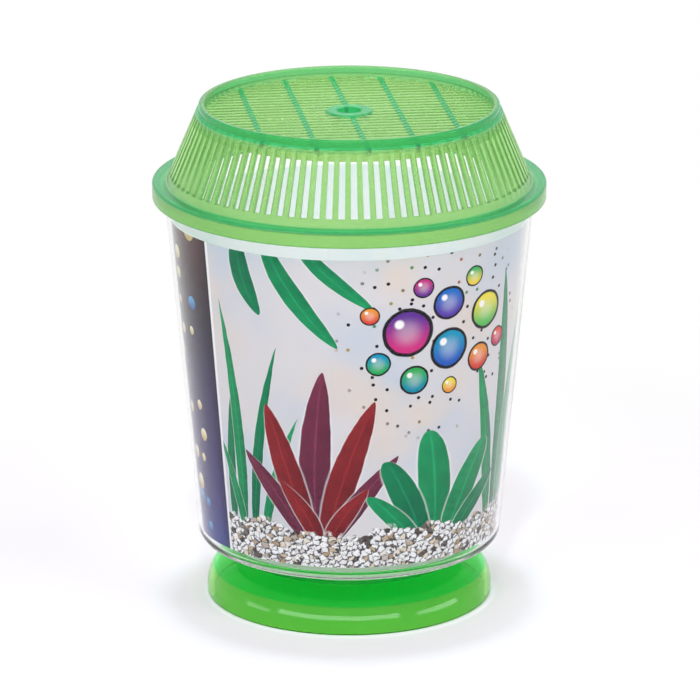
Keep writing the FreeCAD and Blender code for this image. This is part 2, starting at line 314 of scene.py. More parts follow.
def make_pedestal():
    """The upturned bowl, with its seat and the low ring that centres the tank."""
    hollow_turn = math.tan(SHOULDER_TURN / 2)
    hollow_seat = math.tan((math.pi / 2 - SHOULDER_TURN) / 2)
    ring_radius = TANK_FOOT_RADIUS - FOOT_RING_WIDTH - SEAT_GAP
    inner_foot = FOOT_RADIUS - PEDESTAL_WALL
    outline = rounded_outline([
        (0, SEAT, 0),
        (ring_radius - RING_WIDTH, SEAT, RING_ROOT),
        (ring_radius - RING_WIDTH, RING_TOP, RING_EDGE),
        (ring_radius, RING_TOP, RING_EDGE),
        (ring_radius, SEAT, RING_ROOT),
        (SEAT_RADIUS, SEAT, SEAT_EDGE),
        (FOOT_RADIUS, WALL_APEX, SHOULDER_RADIUS),
        (FOOT_RADIUS, 0, FOOT_EDGE),
        (inner_foot, 0, FOOT_EDGE),
        (inner_foot, WALL_APEX - PEDESTAL_WALL * hollow_turn, SHOULDER_RADIUS - PEDESTAL_WALL),
        (SEAT_RADIUS - PEDESTAL_WALL * hollow_seat, SEAT - PEDESTAL_WALL, SEAT_EDGE),
        (0, SEAT - PEDESTAL_WALL, 0),
    ])
    mesh = turned(outline, closed=False)
    for face in mesh.faces:
        middle = face.calc_center_median()
        on_seat = middle.z > SEAT - SAME_LEVEL and middle.xy.length < SEAT_RADIUS - SEAT_EDGE / 2
        face.material_index = 1 if on_seat else 0
    return new_object("pedestal_base_bowl", mesh)


def make_tank():
    """The clear tapered tub, with its foot ring and the bead round its mouth."""
    foot_inner = TANK_FOOT_RADIUS - FOOT_RING_WIDTH
    floor_top = TANK_BOTTOM + TANK_FLOOR
    outline = rounded_outline([
        (0, TANK_BOTTOM, 0),
        (foot_inner, TANK_BOTTOM, FOOT_RING_ROOT),
        (foot_inner, SEAT, FOOT_RING_EDGE),
        (TANK_FOOT_RADIUS, SEAT, FOOT_RING_EDGE),
        (TANK_FOOT_RADIUS, TANK_BOTTOM, FOOT_RING_ROOT),
        (TANK_BASE_RADIUS, TANK_BOTTOM, TANK_CORNER),
        (TANK_MOUTH_RADIUS, BEAD_LOW, BEAD_ROOT),
        (BEAD_RADIUS, BEAD_LOW, BEAD_EDGE),
        (BEAD_RADIUS, RIM, BEAD_EDGE),
        (tank_radius(RIM, WALL_ACROSS), RIM, BEAD_EDGE),
        (tank_radius(floor_top, WALL_ACROSS), floor_top, INNER_CORNER),
        (0, floor_top, 0),
    ])
    return new_object("tank_tub", turned(outline, closed=False))


def make_sleeve():
    """The printed sheet, rolled to the tank's taper and open along its seam at the back. Its map holds the
    distance round it from the front and the height up it, in millimetres."""
    low, high = sleeve_low.z, sleeve_high.z
    outer_inset = WALL_ACROSS + SLEEVE_GAP
    inner_inset = outer_inset + SLEEVE_THICKNESS
    outline = [
        Vector((tank_radius(low, outer_inset), low)),
        Vector((tank_radius(high, outer_inset), high)),
        Vector((tank_radius(high, inner_inset), high)),
        Vector((tank_radius(low, inner_inset), low)),
    ]
    seam = SEAM_GAP / tank_radius(low, outer_inset)
    back = math.pi / 2
    mesh = bmesh.new()
    wire = outline_edges(mesh, outline, angle=back + seam / 2)
    first_edges = [item for item in wire if isinstance(item, bmesh.types.BMEdge)]
    spun = bmesh.ops.spin(mesh, geom=wire, cent=MIDDLE, axis=UP, angle=FULL_TURN - seam, steps=RING_STEPS)
    last_edges = [item for item in spun["geom_last"] if isinstance(item, bmesh.types.BMEdge)]
    bmesh.ops.contextual_create(mesh, geom=first_edges)
    bmesh.ops.contextual_create(mesh, geom=last_edges)
    cleaned(mesh)
    print_map = mesh.loops.layers.uv.new("print")
    for face in mesh.faces:
        middle = face.calc_center_median()
        outward = face.normal.x * middle.x + face.normal.y * middle.y
        face.material_index = 0 if outward > 0.5 * middle.xy.length else 1
        for loop in face.loops:
            place = loop.vert.co
            round_it = math.atan2(place.x, -place.y)
            if middle.x * round_it < 0 and place.y > 0:
                round_it = -round_it
            loop[print_map].uv = (round_it * PRINT_RADIUS / MM, (place.z - low) / MM)
    return new_object("picture_sleeve_sheet", mesh)


def make_lid_shell():
    """The lid's band, ledge, slotted skirt and rim: one slot's share of it, repeated right round."""
    pitch = FULL_TURN / SLOT_COUNT
    slot_turn = pitch * SLOT_WIDTH_SHARE
    half_bar = (pitch - slot_turn) / 2
    slot_root = skirt_radius(SKIRT_HIGH)
    root_low = LEDGE + (SKIRT_LOW_RADIUS - SKIRT_ACROSS - slot_root) / LEAN
    outline = rounded_outline([
        (BAND_RADIUS - BAND_WALL, BAND_LOW, BAND_FOOT_EDGE),
        (BAND_RADIUS, BAND_LOW, BAND_FOOT_EDGE),
        (BAND_RADIUS, LEDGE, BAND_EDGE),
        (SKIRT_LOW_RADIUS, LEDGE, LEDGE_FILLET),
        (skirt_radius(SLOT_LOW), SLOT_LOW, 0),
        (skirt_radius(SLOT_HIGH), SLOT_HIGH, 0),
        (slot_root, SKIRT_HIGH, GRILLE_EDGE),
        (RIM_RADIUS, SKIRT_HIGH, RIM_ROOT),
        (RIM_RADIUS, RIM_TOP, RIM_EDGE),
        (RIM_INNER, RIM_TOP, RIM_EDGE),
        (RIM_INNER, GRILLE_LOW, GRILLE_EDGE),
        (skirt_radius(GRILLE_LOW, SKIRT_ACROSS), GRILLE_LOW, GRILLE_EDGE),
        (slot_root, root_low, 0),
        (skirt_radius(SLOT_LOW, SKIRT_ACROSS), SLOT_LOW, 0),
        (skirt_radius(RIM, SKIRT_ACROSS), RIM, INNER_FILLET),
        (BAND_RADIUS - BAND_WALL, RIM, INNER_FILLET),
    ])
    mesh = bmesh.new()
    side = outline_edges(mesh, outline, angle=-pitch / 2)
    for turn in (half_bar, slot_turn, half_bar):
        side = bmesh.ops.spin(mesh, geom=side, cent=MIDDLE, axis=UP, angle=turn, steps=1)["geom_last"]
    slot_middle = (SLOT_LOW + SLOT_HIGH) / 2
    slot_faces = []
    for face in mesh.faces:
        middle = face.calc_center_median()
        in_slot = abs(math.atan2(middle.y, middle.x)) < slot_turn / 2
        if in_slot and abs(middle.z - slot_middle) < (SLOT_HIGH - SLOT_LOW) / 4:
            slot_faces.append(face)
    slot_edges = [edge for face in slot_faces for edge in face.edges]
    bmesh.ops.delete(mesh, geom=slot_faces, context="FACES_ONLY")
    bmesh.ops.bridge_loops(mesh, edges=slot_edges)
    bmesh.ops.bevel(mesh, geom=slot_edges, offset=SLOT_EDGE, segments=2, profile=0.5, affect="EDGES",
                    material=-1)
    whole = mesh.verts[:] + mesh.edges[:] + mesh.faces[:]
    bmesh.ops.spin(mesh, geom=whole, cent=MIDDLE, axis=UP, angle=FULL_TURN - pitch, steps=SLOT_COUNT - 1,
                   use_duplicate=True)
    return new_object("lid_moulding", cleaned(mesh))


def make_strips(name, width, low, high, pitch, turn):
    """Parallel strips of the grille, rounded along their edges, with their ends inside the lid's rim."""
    reach = RIM_INNER + STRIP_ROOT
    each_side = int((RIM_INNER - width) / pitch)
    mesh = bmesh.new()
    for place in range(-each_side, each_side + 1):
        offset = place * pitch
        length = 2 * math.sqrt(reach ** 2 - offset ** 2)
        size = Matrix.Diagonal((length, width, high - low, 1))
        spot = Matrix.Translation((0, offset, (low + high) / 2))
        bmesh.ops.create_cube(mesh, size=1, matrix=Matrix.Rotation(turn, 4, "Z") @ spot @ size)
    bmesh.ops.bevel(mesh, geom=mesh.edges[:], offset=STRIP_EDGE, segments=2, profile=0.5, affect="EDGES",
                    material=-1)
    return new_object(name, cleaned(mesh))


def combined(piece, tool, operation):
    """The piece with a tool joined to it or cut out of it."""
    change = piece.modifiers.new(tool.name, "BOOLEAN")
    change.object = tool
    change.operation = operation
    change.solver = "EXACT"
    bpy.context.view_layer.update()
    view = piece.evaluated_get(bpy.context.evaluated_depsgraph_get())
    data = bpy.data.meshes.new_from_object(view)
    piece.modifiers.clear()
    piece.data = data
    bpy.data.objects.remove(tool)


def make_lid():
    """The whole lid: the shell, with the grille of bars and ribs and the holed boss joined to it."""
    boss_low, boss_top = GRILLE_TOP - RIB_DEPTH, GRILLE_TOP + BOSS_RISE
    cut_radius = (HOLE_RADIUS + BOSS_RADIUS) / 2
    bars = make_strips("grille_bars", BAR_WIDTH, GRILLE_LOW, GRILLE_TOP, BAR_PITCH, 0)
    ribs = make_strips("grille_ribs", RIB_WIDTH, boss_low, GRILLE_TOP - RIB_SET_BACK, RIB_PITCH, math.pi / 2)
    core = turned([Vector((0, boss_low - MM)), Vector((cut_radius, boss_low - MM)),
                   Vector((cut_radius, boss_top + MM)), Vector((0, boss_top + MM))], closed=False)
    boss = turned(rounded_outline([
        (HOLE_RADIUS, boss_low, BOSS_EDGE / 2),
        (BOSS_RADIUS, boss_low, BOSS_EDGE / 2),
        (BOSS_RADIUS, boss_top, BOSS_EDGE),
        (HOLE_RADIUS, boss_top, BOSS_EDGE),
    ]))
    combined(bars, ribs, "UNION")
    combined(bars, new_object("boss_core", core), "DIFFERENCE")
    combined(bars, new_object("boss_ring", boss), "UNION")
    lid = make_lid_shell()
    combined(lid, bars, "UNION")
    return lid


def node(tree, kind, inputs=None, **settings):
    """A shader node with its settings, and each of its inputs set to a value or linked to a socket."""
    made = tree.nodes.new(kind)
    for name, value in settings.items():
        setattr(made, name, value)
    for name, value in (inputs or {}).items():
        if isinstance(value, bpy.types.NodeSocket):
            tree.links.new(value, made.inputs[name])
        else:
            made.inputs[name].default_value = value
    return made


def calc(tree, operation, *values, clamp=False):
    """The result of one step of arithmetic on sockets and numbers."""
    step = node(tree, "ShaderNodeMath", dict(enumerate(values)), operation=operation, use_clamp=clamp)
    return step.outputs[0]


def colour(red, green, blue):
    """A linear colour from sRGB values of 0 to 255."""
    def linear(value):
        share = value / 255
        return share / 12.92 if share <= 0.04045 else ((share + 0.055) / 1.055) ** 2.4
    return linear(red), linear(green), linear(blue), 1.0


def blend(tree, share, first, second, mode="MIX"):
    """A mix of two colours."""
    mix = node(tree, "ShaderNodeMix", {0: share, 6: first, 7: second}, data_type="RGBA", blend_type=mode)
    return mix.outputs[2]


def fade(tree, value, start, end):
    """A smooth step of a value from 0 at the start to 1 at the end."""
    step = node(tree, "ShaderNodeMapRange", {"Value": value, "From Min": start, "From Max": end},
                interpolation_type="SMOOTHSTEP")
    return step.outputs[0]


def noise(tree, place, scale, detail=2.0):
    """A cloudy pattern between 0 and 1, with features about 1 / scale across."""
    cloud = node(tree, "ShaderNodeTexNoise", {"Vector": place, "Scale": scale, "Detail": detail})
    return cloud.outputs["Fac"]


def ramp(tree, value, stops):
    """A run of colours over a value of 0 to 1, each stop a place and a colour."""
    made = node(tree, "ShaderNodeValToRGB", {"Fac": value})
    elements = made.color_ramp.elements
    elements[0].position, elements[0].color = stops[0]
    elements[1].position, elements[1].color = stops[-1]
    for place, tone in stops[1:-1]:
        elements.new(place).color = tone
    return made.outputs["Color"]


def new_group(name, inputs, outputs):
    """A shader node group: its tree, the sockets that feed it and its output node."""
    tree = bpy.data.node_groups.new(name, "ShaderNodeTree")
    for title, kind in inputs.items():
        tree.interface.new_socket(title, in_out="INPUT", socket_type="NodeSocket" + kind)
    for title, kind in outputs.items():
        tree.interface.new_socket(title, in_out="OUTPUT", socket_type="NodeSocket" + kind)
    given = tree.nodes.new("NodeGroupInput").outputs
    return tree, given, tree.nodes.new("NodeGroupOutput")


def new_material(name):
    """An empty material, its node tree and its output node."""
    material = bpy.data.materials.new(name)
    material.use_nodes = True
    material.node_tree.nodes.clear()
    return material, material.node_tree, material.node_tree.nodes.new("ShaderNodeOutputMaterial")


def make_mould_finish():
    """What moulded plastic shows close up: slow clouds of shade, uneven gloss, and fine flow lines."""
    tree, given, result = new_group(
        "mould_finish",
        {"Place": "Vector", "Roughness": "Float", "Unevenness": "Float"},
        {"Cloud": "Float", "Roughness": "Float", "Height": "Float"})
    cloud = noise(tree, given["Place"], 42, 3)
    stretch = node(tree, "ShaderNodeMapping", {"Vector": given["Place"], "Scale": (60, 60, 900)})
    flow = noise(tree, stretch.outputs[0], 1, 3)
    scuff = noise(tree, given["Place"], 700, 4)
    uneven = calc(tree, "MULTIPLY_ADD", flow, 0.5, calc(tree, "MULTIPLY_ADD", scuff, 0.5, cloud))
    shift = calc(tree, "MULTIPLY", calc(tree, "SUBTRACT", uneven, 1.0), given["Unevenness"])
    rough = calc(tree, "ADD", given["Roughness"], shift, clamp=True)
    height = calc(tree, "MULTIPLY_ADD", flow, 0.35, cloud)
    tree.links.new(cloud, result.inputs["Cloud"])
    tree.links.new(rough, result.inputs["Roughness"])
    tree.links.new(height, result.inputs["Height"])
    return tree


def finish_of(tree, group, roughness, unevenness):
    """A material's own copy of a shared finish, on the piece's own coordinates."""
    place = node(tree, "ShaderNodeTexCoord").outputs["Object"]
    return node(tree, "ShaderNodeGroup", {"Place": place, "Roughness": roughness, "Unevenness": unevenness},
                node_tree=group).outputs


def height_in(tree):
    """The height of the shaded point above the floor."""
    spot = node(tree, "ShaderNodeTexCoord").outputs["Object"]
    return node(tree, "ShaderNodeSeparateXYZ", {"Vector": spot}).outputs["Z"]


def bumped(tree, height, strength, distance):
    """A surface normal that follows a height."""
    bump = node(tree, "ShaderNodeBump", {"Height": height, "Strength": strength, "Distance": distance})
    return bump.outputs[0]


def lets_light_in(tree, output, surface, tint):
    """Ends a clear material: lamps shine through it, tinted, and everything else meets its surface."""
    path = node(tree, "ShaderNodeLightPath")
    through = node(tree, "ShaderNodeBsdfTransparent", {"Color": tint})
    mix = node(tree, "ShaderNodeMixShader",
               {0: path.outputs["Is Shadow Ray"], 1: surface, 2: through.outputs[0]})
    tree.links.new(mix.outputs[0], output.inputs["Surface"])


def make_clear_plastic(finish):
    """Clear polished plastic of the tank."""
    material, tree, output = new_material("clear_tank_plastic")
    polish = finish_of(tree, finish, 0.02, 0.02)
    height = height_in(tree)
    foot = fade(tree, height, sleeve_low.z - 1 * MM, sleeve_low.z - 3 * MM)
    rough = calc(tree, "MULTIPLY_ADD", foot, 0.1, polish["Roughness"])
    tint = blend(tree, polish["Cloud"], (0.985, 0.99, 0.99, 1), (0.975, 0.985, 0.985, 1))
    clear = node(tree, "ShaderNodeBsdfPrincipled", {
        "Base Color": tint, "Roughness": rough, "IOR": 1.2,
        "Transmission Weight": 1.0, "Normal": bumped(tree, polish["Height"], 0.04, 0.2 * MM)})
    lets_light_in(tree, output, clear.outputs[0], (0.84, 0.84, 0.845, 1))
    return material


def make_base_plastic(finish):
    """Transparent green plastic of the pedestal, with a deeper green painted on its crown as shade and a
    paler olive painted on its skirt as light reflected from the floor.
    """
    material, tree, output = new_material("pedestal_green_plastic")
    polish = finish_of(tree, finish, 0.03, 0.03)
    height = height_in(tree)
    # Painted shade and light: the crown is tinted deeper green as shade, the skirt below it paler olive as
    # light reflected from the floor
    crown_painted_shade = blend(tree, polish["Cloud"], (0.0002, 0.8, 0.07, 1), (0.0006, 0.84, 0.085, 1))
    skirt_painted_light = blend(tree, polish["Cloud"], (0.28, 0.78, 0.12, 1), (0.34, 0.82, 0.145, 1))
    tint = blend(tree, fade(tree, height, SHADED_CROWN_LOW - 0.4 * MM, SHADED_CROWN_LOW + 0.4 * MM), skirt_painted_light, crown_painted_shade)
    clear = node(tree, "ShaderNodeBsdfPrincipled", {
        "Base Color": tint, "Roughness": polish["Roughness"], "IOR": 1.3,
        "Transmission Weight": 0.95, "Normal": bumped(tree, polish["Height"], 0.06, 0.2 * MM)})
    lets_light_in(tree, output, clear.outputs[0], (0.62, 0.7, 0.65, 1))
    return material


def make_seat_plastic(finish):
    """The pedestal's green plastic where its seat is frosted."""
    material, tree, output = new_material("pedestal_frosted_seat")
    polish = finish_of(tree, finish, 0.5, 0.1)
    tint = blend(tree, polish["Cloud"], (0.62, 0.88, 0.56, 1), (0.68, 0.9, 0.62, 1))
    frosted = node(tree, "ShaderNodeBsdfPrincipled", {
        "Base Color": tint, "Roughness": polish["Roughness"], "IOR": 1.3, "Transmission Weight": 0.1,
        "Normal": bumped(tree, polish["Height"], 0.1, 0.2 * MM)})
    lets_light_in(tree, output, frosted.outputs[0], (0.62, 0.7, 0.65, 1))
    return material


def thick_parts_shade_mask(tree):
    """A mask of where the lid is thick, which gets the lid's emerald painted shade: its rim, its ledge, the
    grille's ribs and the boss.
    """
    spot = node(tree, "ShaderNodeTexCoord").outputs["Object"]
    parts = node(tree, "ShaderNodeSeparateXYZ", {"Vector": spot}).outputs
    level = node(tree, "ShaderNodeCombineXYZ", {"X": parts["X"], "Y": parts["Y"]}).outputs[0]
    out = node(tree, "ShaderNodeVectorMath", {0: level}, operation="LENGTH").outputs["Value"]
    rim = calc(tree, "MULTIPLY", fade(tree, out, RIM_RADIUS - 1.3 * MM, RIM_RADIUS - 0.5 * MM),
               fade(tree, parts["Z"], SKIRT_HIGH - 1 * MM, SKIRT_HIGH - 0.1 * MM))
    ledge = calc(tree, "MULTIPLY", fade(tree, out, SKIRT_LOW_RADIUS - 0.1 * MM, SKIRT_LOW_RADIUS + 0.9 * MM),
                 fade(tree, parts["Z"], LEDGE - 1.2 * MM, LEDGE - 0.5 * MM))
    from_rib = calc(tree, "ABSOLUTE", calc(tree, "WRAP", parts["X"], RIB_PITCH / 2, -RIB_PITCH / 2))
    in_grille = calc(tree, "MULTIPLY", fade(tree, parts["Z"], GRILLE_LOW - 2 * MM, GRILLE_LOW - MM),
                     fade(tree, out, RIM_INNER, RIM_INNER - 0.6 * MM))
    on_rib = fade(tree, from_rib, RIB_WIDTH / 2 + 0.35 * MM, RIB_WIDTH / 2 - 0.1 * MM)
    rib = calc(tree, "MULTIPLY", on_rib, in_grille)
    boss = calc(tree, "MULTIPLY", fade(tree, out, BOSS_RADIUS + 0.4 * MM, BOSS_RADIUS - 0.2 * MM), in_grille)
    return calc(tree, "MAXIMUM", calc(tree, "MAXIMUM", rim, ledge), calc(tree, "MAXIMUM", rib, boss))


def make_lid_plastic(finish):
    """Cloudy green plastic of the lid, yellower where it is thin, with emerald painted as shade where it is
    thick, for light that passes through more plastic there.
    """
    material, tree, output = new_material("lid_green_plastic")
    polish = finish_of(tree, finish, 0.24, 0.1)
    thin = blend(tree, polish["Cloud"], (0.45, 0.68, 0.23, 1), (0.55, 0.71, 0.27, 1))
    band = blend(tree, polish["Cloud"], (0.43, 0.69, 0.19, 1), (0.5, 0.72, 0.22, 1))
    height = height_in(tree)
    thin = blend(tree, fade(tree, height, LEDGE - 0.8 * MM, LEDGE - 1.8 * MM), thin, band)
    # Painted shade: emerald where the lid is thick, also on the bar tops over the ribs, for light passing
    # through more plastic
    thick_painted_shade = blend(tree, polish["Cloud"], (0.04, 0.58, 0.19, 1), (0.08, 0.62, 0.23, 1))
    tint = blend(tree, thick_parts_shade_mask(tree), thin, thick_painted_shade)
    cloudy = node(tree, "ShaderNodeBsdfPrincipled", {
        "Base Color": tint, "Roughness": polish["Roughness"], "IOR": 1.33, "Transmission Weight": 0.8,
        "Normal": bumped(tree, polish["Height"], 0.15, 0.3 * MM)})
    depth = node(tree, "ShaderNodeVolumeAbsorption", {"Color": (0.09, 0.86, 0.9, 1), "Density": 220})
    tree.links.new(depth.outputs[0], output.inputs["Volume"])
    lets_light_in(tree, output, cloudy.outputs[0], (0.96, 0.945, 0.95, 1))
    return material


def make_painted_leaf():
    """One brushed leaf of the print with a pale halo, laid over the canvas, in millimetres."""
    tree, given, result = new_group(
        "painted_leaf",
        {"Canvas": "Color", "U": "Float", "V": "Float", "Brush": "Float", "Foot U": "Float",
         "Foot V": "Float", "Height": "Float", "Lean": "Float", "Bend": "Float", "Width": "Float",
         "Tip": "Float", "Dark": "Color", "Light": "Color"},
        {"Colour": "Color"})
    above = calc(tree, "SUBTRACT", given["V"], given["Foot V"])
    along = calc(tree, "DIVIDE", above, given["Height"], clamp=True)
    sweep = calc(tree, "MULTIPLY_ADD", given["Bend"], along, given["Lean"])
    line = calc(tree, "MULTIPLY_ADD", sweep, along, given["Foot U"])
    left = calc(tree, "SUBTRACT", 1.0, along)
    swell = calc(tree, "MULTIPLY", calc(tree, "POWER", along, 0.6), calc(tree, "POWER", left, given["Tip"]))
    half = calc(tree, "MULTIPLY_ADD", swell, given["Width"], 0.001)
    wavy = calc(tree, "MULTIPLY_ADD", given["Brush"], 0.7, calc(tree, "SUBTRACT", given["U"], line))
    side = calc(tree, "DIVIDE", calc(tree, "SUBTRACT", wavy, 0.35), half)
    away = calc(tree, "ABSOLUTE", side)
    vein_run = calc(tree, "MULTIPLY_ADD", away, -3.2, calc(tree, "MULTIPLY", given["V"], 2.1))
    vein = calc(tree, "SINE", vein_run)
    shade = calc(tree, "MULTIPLY_ADD", along, 0.4, calc(tree, "MULTIPLY", given["Brush"], 0.75))
    shade = calc(tree, "MULTIPLY_ADD", side, -0.12, shade)
    shade = calc(tree, "MULTIPLY_ADD", vein, 0.07, shade, clamp=True)
    tone = blend(tree, shade, given["Dark"], given["Light"])
    rib = calc(tree, "MULTIPLY", fade(tree, away, 0.12, 0.03), 0.45)
    tone = blend(tree, rib, tone, given["Light"], "SCREEN")
    halo = calc(tree, "MULTIPLY", fade(tree, away, 1.18, 1.02), 0.5)
    haloed = blend(tree, halo, given["Canvas"], colour(240, 240, 244))
    leaf = blend(tree, fade(tree, away, 1.02, 0.95), haloed, tone)
    tree.links.new(leaf, result.inputs["Colour"])
    return tree


def make_painted_bubble():
    """One outlined bubble of the print, shaded between two colours, laid over the canvas."""
    tree, given, result = new_group(
        "painted_bubble",
        {"Canvas": "Color", "U": "Float", "V": "Float", "Brush": "Float", "Middle U": "Float",
         "Middle V": "Float", "Radius": "Float", "Top": "Color", "Low": "Color"},
        {"Colour": "Color"})
    right = calc(tree, "DIVIDE", calc(tree, "SUBTRACT", given["U"], given["Middle U"]), given["Radius"])
    above = calc(tree, "DIVIDE", calc(tree, "SUBTRACT", given["V"], given["Middle V"]), given["Radius"])
    spot = node(tree, "ShaderNodeCombineXYZ", {"X": right, "Y": above}).outputs[0]
    out = node(tree, "ShaderNodeVectorMath", {0: spot}, operation="LENGTH").outputs["Value"]
    out = calc(tree, "MULTIPLY_ADD", given["Brush"], 0.12, calc(tree, "SUBTRACT", out, 0.06))
    glint = node(tree, "ShaderNodeVectorMath", {0: spot, 1: (-0.34, 0.36, 0)}, operation="DISTANCE")
    tone = blend(tree, fade(tree, above, -0.75, 0.75), given["Low"], given["Top"])
    sheen = calc(tree, "MULTIPLY", fade(tree, out, 0.75, 0.1), 0.25)
    tone = blend(tree, sheen, tone, colour(255, 255, 255))
    tone = blend(tree, fade(tree, glint.outputs["Value"], 0.24, 0.12), tone, colour(252, 250, 250))
    line = blend(tree, fade(tree, out, 0.82, 0.88), tone, colour(22, 20, 26))
    bubble = blend(tree, fade(tree, out, 1.02, 0.98), given["Canvas"], line)
    tree.links.new(bubble, result.inputs["Colour"])
    return tree


def paint_background(tree, place, brush):
    """Soft watercolour clouds of lilac, pale blue and peach."""
    elsewhere = node(tree, "ShaderNodeMapping", {"Vector": place, "Location": (310, 120, 0)}).outputs[0]
    first = noise(tree, place, 0.021, 2)
    second = noise(tree, elsewhere, 0.03, 2)
    tone = blend(tree, fade(tree, first, 0.38, 0.66), colour(220, 216, 220), colour(202, 209, 222))
    tone = blend(tree, fade(tree, second, 0.48, 0.74), tone, colour(226, 212, 204))
    wash = calc(tree, "MULTIPLY", fade(tree, brush, 0.55, 0.8), 0.35)
    return blend(tree, wash, tone, colour(210, 202, 220))


def paint_pebbles(tree, canvas, place, across):
    """A bed of small pale chips along the foot of the print, with dark shadows between them."""
    jumble = node(tree, "ShaderNodeTexNoise", {"Vector": place, "Scale": 0.85, "Detail": 2.0})
    stirred = node(tree, "ShaderNodeVectorMath", {0: jumble.outputs["Color"], 1: (1.9, 1.9, 0), 2: place},
                   operation="MULTIPLY_ADD").outputs[0]
    stones = node(tree, "ShaderNodeMapping", {"Vector": stirred, "Scale": (STONES_ACROSS, STONES_UP, 1)})
    stones = stones.outputs[0]
    cells = node(tree, "ShaderNodeTexVoronoi", {"Vector": stones, "Scale": 1.0, "Randomness": 1.0},
                 voronoi_dimensions="2D")
    edges = node(tree, "ShaderNodeTexVoronoi", {"Vector": stones, "Scale": 1.0, "Randomness": 1.0},
                 voronoi_dimensions="2D", feature="DISTANCE_TO_EDGE")
    dice = node(tree, "ShaderNodeSeparateColor", {"Color": cells.outputs["Color"]}).outputs
    tone = ramp(tree, dice["Red"], [
        (0.0, colour(74, 66, 64)), (0.05, colour(120, 110, 104)), (0.1, colour(240, 240, 244)),
        (0.45, colour(252, 252, 254)), (0.6, colour(238, 236, 238)), (0.72, colour(250, 250, 252)),
        (0.86, colour(222, 208, 188)), (0.94, colour(176, 146, 116)), (1.0, colour(206, 200, 198))])
    from_middle = node(tree, "ShaderNodeVectorMath", {0: stones, 1: cells.outputs["Position"]},
                       operation="SUBTRACT")
    shaded = node(tree, "ShaderNodeVectorMath", {0: from_middle.outputs[0], 1: (0.75, -0.65, 0)},
                  operation="DOT_PRODUCT").outputs["Value"]
    side = calc(tree, "MULTIPLY", fade(tree, shaded, 0.12, 0.5), dice["Green"])
    tone = blend(tree, calc(tree, "MULTIPLY", side, 0.45), tone, colour(130, 122, 120))
    patch = noise(tree, place, 0.55, 2)
    width = calc(tree, "MULTIPLY", fade(tree, patch, 0.3, 0.62), 0.26)
    gap = calc(tree, "LESS_THAN", edges.outputs["Distance"], width)
    deep = calc(tree, "MULTIPLY", gap, fade(tree, shaded, -0.3, 0.15))
    tone = blend(tree, calc(tree, "MULTIPLY", deep, 0.92), tone, colour(38, 32, 36))
    line = fade(tree, edges.outputs["Distance"], 0.07, 0.02)
    tone = blend(tree, calc(tree, "MULTIPLY", line, 0.45), tone, colour(96, 90, 92))
    grit = fade(tree, noise(tree, place, 2.2, 2), 0.6, 0.66)
    tone = blend(tree, calc(tree, "MULTIPLY", grit, 0.6), tone, colour(72, 64, 62))
    middle = node(tree, "ShaderNodeSeparateXYZ", {"Vector": cells.outputs["Position"]}).outputs
    swell = calc(tree, "MULTIPLY", calc(tree, "SINE", calc(tree, "MULTIPLY", across, 0.104)), 1.6)
    ripple = calc(tree, "MULTIPLY", calc(tree, "SINE", calc(tree, "MULTIPLY", across, 0.278)), 0.9)
    top = calc(tree, "ADD", calc(tree, "ADD", swell, ripple), 14.5)
    level = calc(tree, "SUBTRACT", calc(tree, "DIVIDE", middle["Y"], STONES_UP), top)
    return blend(tree, fade(tree, level, 0.25, -0.25), canvas, tone)


def paint_specks(tree, canvas, place):
    """Dark and coloured specks scattered round the bubbles."""
    cells = node(tree, "ShaderNodeTexVoronoi", {"Vector": place, "Scale": 0.24, "Randomness": 1.0},
                 voronoi_dimensions="2D")
    dice = node(tree, "ShaderNodeSeparateColor", {"Color": cells.outputs["Color"]}).outputs
    near = node(tree, "ShaderNodeVectorMath", {0: place, 1: SPECKS_MIDDLE}, operation="DISTANCE")
    some = calc(tree, "LESS_THAN", dice["Red"], 0.42)
    small = fade(tree, cells.outputs["Distance"], 0.17, 0.13)
    mask = calc(tree, "MULTIPLY", calc(tree, "MULTIPLY", some, small),
                fade(tree, near.outputs["Value"], SPECKS_REACH, SPECKS_REACH - 6))
    tone = ramp(tree, dice["Green"], [
        (0.0, colour(28, 26, 30)), (0.78, colour(30, 28, 32)), (0.82, colour(190, 150, 70)),
        (0.9, colour(60, 140, 100)), (1.0, colour(200, 80, 60))])
    return blend(tree, mask, canvas, tone)


def paint_beads(tree, canvas, place, up):
    """Cream and blue bubbles of several sizes, scattered up the stripe and clear of its edge."""
    cells = node(tree, "ShaderNodeTexVoronoi", {"Vector": place, "Scale": 0.105, "Randomness": 0.62},
                 voronoi_dimensions="2D")
    dice = node(tree, "ShaderNodeSeparateColor", {"Color": cells.outputs["Color"]}).outputs
    middle = node(tree, "ShaderNodeSeparateXYZ", {"Vector": cells.outputs["Position"]}).outputs
    blue = calc(tree, "GREATER_THAN", dice["Green"], 0.66)
    top = blend(tree, blue, colour(250, 240, 200), colour(70, 168, 224))
    low = blend(tree, blue, colour(204, 178, 116), colour(0, 84, 160))
    tone = blend(tree, fade(tree, calc(tree, "SUBTRACT", up, middle["Y"]), -2.4, 2.4), low, top)
    radius = calc(tree, "MULTIPLY_ADD", dice["Red"], 0.25, 0.13)
    out = calc(tree, "DIVIDE", cells.outputs["Distance"], radius)
    kept = calc(tree, "MULTIPLY", calc(tree, "LESS_THAN", middle["X"], STRIPE_EDGE - 4.0),
                calc(tree, "LESS_THAN", dice["Blue"], 0.7))
    return blend(tree, calc(tree, "MULTIPLY", kept, fade(tree, out, 1.0, 0.9)), canvas, tone)


